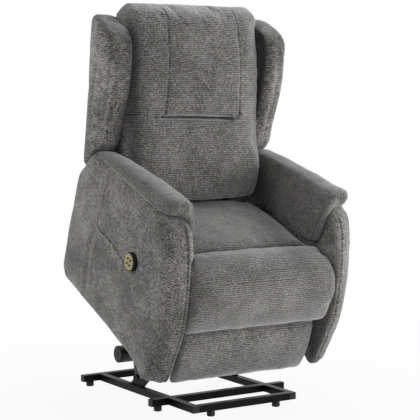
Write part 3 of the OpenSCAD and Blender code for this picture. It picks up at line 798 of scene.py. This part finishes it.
def rollField(x, y, z):
    k = (abs(x) / roll["half"]) ** 4
    drop = roll["drop"] * k * step01(z, *roll["dropUp"])
    back = roll["sideBack"] * k * step01(-y, *roll["ahead"])
    half = roll["half"] - roll["narrow"] * step01(y, *roll["narrowBack"])
    return both(roll["edge"], outlineField(curve(roll["outline"], 4), y - back, z + drop), abs(x) - half)


seatRoll = netted("seatRoll", rollField, roll)
puff(seatRoll, roll, lambda p: ((p[:, 1] > roll["heldBehind"]) & (p[:, 2] < roll["heldBelow"])) * 1.0)
finer(seatRoll)
seamY, seamZ = roll["seamAt"]
frontSeam = [(x, seamY, seamZ - roll["drop"] * (x / roll["seamHalf"]) ** 4)
             for x in np.linspace(*roll["seamRun"])]
sewn(seatRoll, [{"line": frontSeam, "depth": 1.8, "width": 3.6, "ridge": 1.2}],
     roll["uneven"], roll["seed"])
dressed(seatRoll, "seat_body", seatFabric, overProfile(roll["outline"][2:18]),
        ["seat_roll"])
print("seat sewn")

# footrest
foot = {"box": ((-284, -345, 48), (284, -294, 268)), "pitch": 7.5, "pressure": 4.0, "cap": 4.0,
        "half": 279.0, "edge": 20.0, "fill": 0.6, "uneven": (1.6, 120.0), "seed": 41,
        "sideBack": 9.0, "ahead": (300.0, 325.0), "heldBehind": -302.0,
        "outline": [(-298, 60), (-306, 54), (-318, 57), (-328, 72), (-335, 96), (-339, 130), (-340, 172),
                    (-339, 212), (-335, 240), (-326, 256), (-314, 261), (-298, 260)]}


def footField(x, y, z):
    back = foot["sideBack"] * (abs(x) / foot["half"]) ** 4 * step01(-y, *foot["ahead"])
    return both(foot["edge"], outlineField(curve(foot["outline"], 4), y - back, z), abs(x) - foot["half"])


footrestPad = netted("footrestPad", footField, foot)
puff(footrestPad, foot, lambda p: (p[:, 1] > foot["heldBehind"]) * 1.0)
finer(footrestPad)
sewn(footrestPad, [], foot["uneven"], foot["seed"])
dressed(footrestPad, "footrest_board", seatFabric, overProfile(foot["outline"]),
        ["footrest_pad"])
print("footrest sewn")

# back cushion, on a board that leans back from its foot; face is its profile from the seat up
back = {"box": ((-308, 144, 464), (292, 545, 1130)), "pitch": 8.0, "pressure": 4.0, "cap": 3.5,
        "half": 279.0, "edge": 34.0, "rearEdge": 12.0, "fill": 0.8, "uneven": (2.6, 120.0), "seed": 51,
        "lean": 16.6, "slope": 0.298, "foot": (345.0, 470.0),  # slope is the lean's, to three digits
        "face": [(163, 506), (153, 530), (153, 560), (161, 604), (178, 648), (214, 700), (236, 738),
                 (254, 772), (267, 800), (284, 850), (328, 950), (364, 1012), (394, 1052), (422, 1090),
                 (452, 1115)],
        "top": [(486, 1122), (530, 1124), (572, 1112)], "topWrap": [(486, 1122), (518, 1116), (533, 1098)],
        "under": [(320, 473), (240, 496)], "behind": 40.0, "behindAt": (1060, 900, 700, 520, 472),
        "wrapFrom": 472.0, "wrapTo": (1050, 480),
        "sideBack": (9.0, 30.0), "sideSpan": (20.0, 110.0),
        # above the wings the corners swell out over them
        "overSpan": (1064.0, 1088.0), "swellRight": 22.0, "swellLeft": 7.0,
        "topDrop": 6.0, "topSpan": (1040.0, 1110.0), "cornerFrom": 250.0, "cornerDrop": 0.85,
        "heldBehind": 9.0, "heldBelow": 512.0, "channelHold": 8.0, "creaseHold": 13.0}
# lines on its front as (x, z); overTop takes the channels on over the top, as (y, z), and besideWings is
# only painted shade beside the wings
backSeams = {"channels": [[(-153, 800), (-150, 833), (-143, 883), (-136, 979), (-128, 1069), (-126, 1108)],
                          [(166, 800), (166, 833), (167, 883), (168, 979), (170, 1069), (170, 1108)]],
             "overTop": [(470, 1121), (528, 1108)],
             "crease": [(-166, 791), (-90, 793), (-8, 792), (60, 790), (142, 786)],
             "faint": [[(-166, 791), (-200, 789), (-231, 781), (-270, 764)],
                       [(142, 786), (200, 782), (235, 775), (270, 762)],
                       [(-153, 800), (-166, 791)], [(166, 800), (142, 786)]],
             "besideWings": [[(s * 272, z) for z in (560, 700, 850, 1000, 1090)] for s in (-1, 1)]}
# four small folds that fan out from each top corner: the first one's ends, and the step to the next
cornerFan = {"folds": 4, "start": (272, 505, 1100), "startStep": (-8, -26, -6),
             "end": (250, 440, 1028), "endStep": (-26, -10, 22)}


def onBack(z):
    # the board's face at this height
    footY, footZ = back["foot"]
    return footY + (z - footZ) * math.tan(math.radians(back["lean"]))


def nearBack(z):
    # the same with the rounded slope, for the rounding of the sides and for what is held
    footY, footZ = back["foot"]
    return footY + (z - footZ) * back["slope"]


def sideBack(x):
    # how far the cushion's face lies back towards its sides
    k = abs(x) / back["half"]
    near, far = back["sideBack"]
    return near * k**2 + far * k**5


backLoop = curve(back["face"] + back["top"] + [(onBack(z) + back["behind"], z) for z in back["behindAt"]]
                 + back["under"], 4)
backWrap = ([(onBack(back["wrapFrom"]), back["wrapFrom"])] + back["under"] + back["face"] + back["topWrap"]
            + [(onBack(z), z) for z in back["wrapTo"]])


def backField(x, y, z):
    over = step01(z, *back["overSpan"])
    swell = np.where(x < 0, back["swellRight"], back["swellLeft"]) * over
    drop = back["topDrop"] * (abs(x) / back["half"]) ** 6 * step01(z, *back["topSpan"])
    corner = back["cornerDrop"] * np.maximum(-x - back["cornerFrom"], 0) * over
    ahead = nearBack(z) - y
    face = outlineField(backLoop, y - sideBack(x) * step01(ahead, *back["sideSpan"]), z + drop + corner)
    cushion = both(back["edge"], face, abs(x) - back["half"] - swell)
    behind = (y - onBack(z) + 1) * math.cos(math.radians(back["lean"]))
    return both(back["rearEdge"], cushion, behind)


def onFace(line):
    # points 1 mm inside the cushion's front, from their places across it and their heights
    face = [(z, y) for y, z in back["face"]]
    return [(x, at(face, z) + 1 + sideBack(x), z) for x, z in line]


channels = [onFace(line) + [(line[-1][0], y, z) for y, z in backSeams["overTop"]]
            for line in backSeams["channels"]]
crease = onFace(backSeams["crease"])


def heldBack(p):
    w = ((p[:, 1] > nearBack(p[:, 2]) - back["heldBehind"]) | (p[:, 2] < back["heldBelow"])) * 1.0
    for line, reach in [(c, back["channelHold"]) for c in channels] + [(crease, back["creaseHold"])]:
        w = np.maximum(w, np.exp(-(distanceTo(p, line)[0] / reach) ** 2))
    return w


cornerFolds = [[(np.array(cornerFan[end]) + k * np.array(cornerFan[end + "Step"])) * (s, 1, 1)
                for end in ("start", "end")] for s in (-1, 1) for k in range(cornerFan["folds"])]
# shade is painted along each set: the crease is painted black in its groove, and besideWings has no groove at
# all
looks = [([crease], {"depth": 32.0, "width": 6.8, "fade": 10, "dark": 1.0, "shade": 10.0}),
         (channels, {"depth": 3.2, "width": 3.6, "ridge": 1.2, "pucker": 0.5, "dark": 0.36}),
         (map(onFace, backSeams["faint"]), {"depth": 4.0, "width": 6.0, "ridge": 1.6, "dark": 0.35}),
         (cornerFolds, {"depth": 3.0, "width": 5.0, "ridge": 1.8, "fade": 30, "dark": 0.25}),
         (map(onFace, backSeams["besideWings"]),
          {"depth": 0.0, "width": 9.0, "dark": 0.7, "shade": 26.0, "fade": 60})]

backCushion = netted("backCushion", backField, back)
puff(backCushion, back, heldBack)
finer(backCushion)
sewn(backCushion, [{**look, "line": line} for lines, look in looks for line in lines],
     back["uneven"], back["seed"])
dressed(backCushion, "back", seatFabric, overProfile(backWrap),
        ["back_cushion"])
print("back cushion sewn")

# wings: an outline seen from the side, and a plan seen along the lean, from its middle
wing = {"box": ((280, 312, 530), (398, 584, 1078)), "pitch": 7.0, "pressure": 3.0, "cap": 3.0, "relax": 2,
        "inside": 283.0, "outside": 382.0, "edge": 21.0, "innerEdge": 5.0, "middle": (300.0, 500.0),
        "fill": 0.5, "heldIn": 290.0, "uneven": (2.4, 140.0), "seeds": {1: 61, -1: 62},
        "outline": [(321, 648), (320, 735), (321, 812), (328, 886), (345, 955), (371, 1026), (394, 1050),
                    (430, 1064), (516, 1071), (556, 1062), (575, 1040), (564, 988), (541, 900), (513, 788),
                    (478, 680), (434, 540), (394, 542), (366, 577)],
        "plan": [(262, -132), (284, -142), (304, -160), (340, -168), (369, -148), (380, -104), (382, -40),
                 (380, 20), (370, 62), (350, 102), (318, 140), (262, 152)],
        "frontSeam": (346, 1), "innerShade": 12,
        "dimple": [(382, 438, 1040), (382, 410, 900), (381, 396, 760)]}


def wingField(x, y, z):
    a = math.radians(back["lean"])
    y0, z0 = wing["middle"]
    deep = (y - y0) * math.cos(a) - (z - z0) * math.sin(a)
    side = outlineField(curve(wing["outline"], 4), y, z)
    plan = outlineField(curve(wing["plan"], 4), x, deep)
    return both(wing["innerEdge"], both(wing["edge"], side, plan), wing["inside"] - x)


def wingSeams(side):
    seamX, seamBack = wing["frontSeam"]
    front = [(side * seamX, y + seamBack, z) for y, z in wing["outline"][:6]]
    # painted shade: the inner line has no groove and only darkens the wing's inner face beside the cushion
    inner = [(side * wing["inside"], y + wing["innerShade"], z) for y, z in wing["outline"][:7]]
    dimple = [(side * x, y, z) for x, y, z in wing["dimple"]]
    return [{"line": front, "depth": 5.0, "width": 13.0, "ridge": 1.6, "fade": 90, "dark": 0.2},
            {"line": dimple, "depth": 2.0, "width": 12.0, "ridge": 1.2, "fade": 80, "dark": 0.1},
            {"line": inner, "depth": 0.0, "width": 9.0, "dark": 0.8, "shade": 34.0}]


def wingPiece(side, name, node):
    obj = netted(name, wingField, wing)
    if side < 0:
        mirror(obj)
    smooth(obj, wing["relax"])
    puff(obj, wing, lambda p: (abs(p[:, 0]) < wing["heldIn"]) * 1.0)
    finer(obj)
    sewn(obj, wingSeams(side), wing["uneven"], wing["seeds"][side])
    wrap = overSide(wing["outside"], back["lean"])
    dressed(obj, "back", litSideFabric, wrap, [node])


wingPiece(1, "wingLeft", "wing_left")
wingPiece(-1, "wingRight", "wing_right")

# outer back cover, whose top corners drop behind the wings
cover = {"box": ((-284, 378, 448), (284, 586, 1080)), "pitch": 6.0, "relax": 2, "half": 282.0, "edge": 3.0,
         "bulge": 4.0, "cornerDrop": 18.0, "cornerSpan": (960.0, 1040.0), "uneven": (1.4, 160.0), "seed": 71,
         "outline": [(384, 455), (390, 462), (434, 541), (474, 668), (514, 788), (543, 894), (566, 988),
                     (576, 1041), (567, 1064), (541, 1074), (540, 1066), (557, 1056), (565, 1040),
                     (555, 988), (533, 896), (503, 790), (464, 670), (424, 545), (384, 470)],
         "seam": [(0, 440, 545), (0, 520, 790), (0, 572, 988), (0, 582, 1041)]}


def coverField(x, y, z):
    k = abs(x) / cover["half"]
    bulge = cover["bulge"] * (1 - k**4)
    drop = cover["cornerDrop"] * k**6 * step01(z, *cover["cornerSpan"])
    return both(cover["edge"], outlineField(curve(cover["outline"], 3), y - bulge, z + drop),
                abs(x) - cover["half"])


backCover = netted("backCover", coverField, cover)
smooth(backCover, cover["relax"])
sewn(backCover, [{"line": cover["seam"], "depth": 1.6, "width": 4.0, "ridge": 0.6}],
     cover["uneven"], cover["seed"])
dressed(backCover, "back", seatFabric, overProfile(cover["outline"][1:10]),
        ["back_cover"])

# lower rear panel, with a slot for each lever of the back
panel = {"box": ((-296, 358, 124), (296, 372, 432)), "pitch": 5.0, "relax": 1, "half": 293.0, "edge": 3.0,
         "middle": 365.0, "thin": 4.6, "low": 127.0, "high": 429.0,
         "slotAt": 234.0, "slotHalf": 6.5, "slotLow": 395.0, "wrap": [(365, 100), (365, 450)]}


def panelField(x, y, z):
    slot = np.maximum(abs(abs(x) - panel["slotAt"]) - panel["slotHalf"], panel["slotLow"] - z)
    return both(panel["edge"], np.maximum(abs(x) - panel["half"], -slot),
                abs(y - panel["middle"]) - panel["thin"], np.maximum(panel["low"] - z, z - panel["high"]))


rearPanel = netted("rearPanel", panelField, panel)
smooth(rearPanel, panel["relax"])
dressed(rearPanel, "seat_body", seatFabric, overProfile(panel["wrap"]),
        ["rear_panel"])
print("back and covers sewn")

# floor, light, camera; places in metres, power in watts; the floor turns white between near and far
studio = {"floor": 0.86, "floorSpread": 0.02, "floorHalf": 60, "paper": 0.92, "near": 0.7, "far": 2.1,
          "world": 0.1, "aim": (0, 0.05, 0.75), "size": 1.4,
          "boxes": {"frontLowBox": ((0.8, -4.0, 0.6), 40), "leftBackBox": ((-3.5, 1.2, 1.3), 23),
                    "leftTopBox": ((-2.6, 0.6, 3.0), 33), "rightBackBox": ((3.0, 2.0, 1.5), 25),
                    "rightLowBox": ((3.0, -2.6, 0.7), 33), "rightSideBox": ((3.7, -1.6, 1.2), 42),
                    "rightTopBox": ((2.6, 0.4, 3.0), 54)}}
viewpoint = {"lens": 121.46, "sensor": 36.0, "place": (-2.7666, -4.3145, 1.1278),
             "turn": -32.976, "down": 4.871, "roll": 0.074}
white = rgb(1, 1, 1)


def floorMaterial():
    # pale paper; the camera sees it nearly white, with the shadow kept
    f = Finish("floorPaper", {"Roughness": 0.9, "Specular IOR Level": 0.1})
    place = f.node("ShaderNodeTexCoord", None, None, "Object")
    pale = studio["floor"] + studio["floorSpread"]
    f.feed("Base Color", f.mix(f.noise(place, 3.0), rgb(*[studio["floor"]] * 3), rgb(*[pale] * 3)))
    glow = f.node("ShaderNodeEmission", None, {"Color": white, "Strength": 1.0})
    far = f.node("ShaderNodeVectorMath", {"operation": "LENGTH"}, {0: place}, "Value")
    away = f.spread(far, studio["near"], studio["far"], studio["paper"], 1.0)
    mixed = f.node("ShaderNodeMixShader", None,
                   {0: f.backdropRays() * away, 1: Sock(f, f.bsdf.outputs[0]), 2: glow})
    f.tree.links.new(mixed.out, f.tree.nodes["Material Output"].inputs[0])
    return f.mat


def whiteWorld():
    # dim for lighting, white for the rays that show it
    world = bpy.data.worlds.new("studio")
    world.use_nodes = True
    w = Shading(world.node_tree)
    dim = w.node("ShaderNodeBackground", None, {"Color": white, "Strength": studio["world"]})
    bright = w.node("ShaderNodeBackground", None, {"Color": white, "Strength": 1.0})
    mixed = w.node("ShaderNodeMixShader", None, {0: w.backdropRays(), 1: dim, 2: bright})
    w.tree.links.new(mixed.out, w.tree.nodes["World Output"].inputs[0])
    w.tree.nodes.remove(w.tree.nodes["Background"])
    return world


def lamp(name, place, power):
    data = bpy.data.lights.new(name, "AREA")
    data.energy, data.size = power, studio["size"]
    obj = bpy.data.objects.new(name, data)
    bpy.context.scene.collection.objects.link(obj)
    obj.location = place
    obj.rotation_euler = (Vector(studio["aim"]) - Vector(place)).to_track_quat("-Z", "Y").to_euler()


def camera():
    data = bpy.data.cameras.new("camera")
    data.lens, data.sensor_width = viewpoint["lens"], viewpoint["sensor"]
    obj = bpy.data.objects.new("camera", data)
    bpy.context.scene.collection.objects.link(obj)
    obj.matrix_world = (Matrix.Translation(viewpoint["place"])
                        @ Matrix.Rotation(math.radians(viewpoint["turn"]), 4, "Z")
                        @ Matrix.Rotation(math.radians(90 - viewpoint["down"]), 4, "X")
                        @ Matrix.Rotation(math.radians(viewpoint["roll"]), 4, "Z"))
    return obj


half = studio["floorHalf"] * metre
floor = meshOf("studioFloor", [(-half, -half, 0), (half, -half, 0), (half, half, 0), (-half, half, 0)],
               [(0, 1, 2, 3)])
floor.data.materials.append(floorMaterial())
for name, (place, power) in studio["boxes"].items():
    lamp(name, place, power)
scene = bpy.context.scene
scene.world = whiteWorld()
scene.camera = camera()
scene.view_settings.view_transform = "Standard"

print("scene ready")
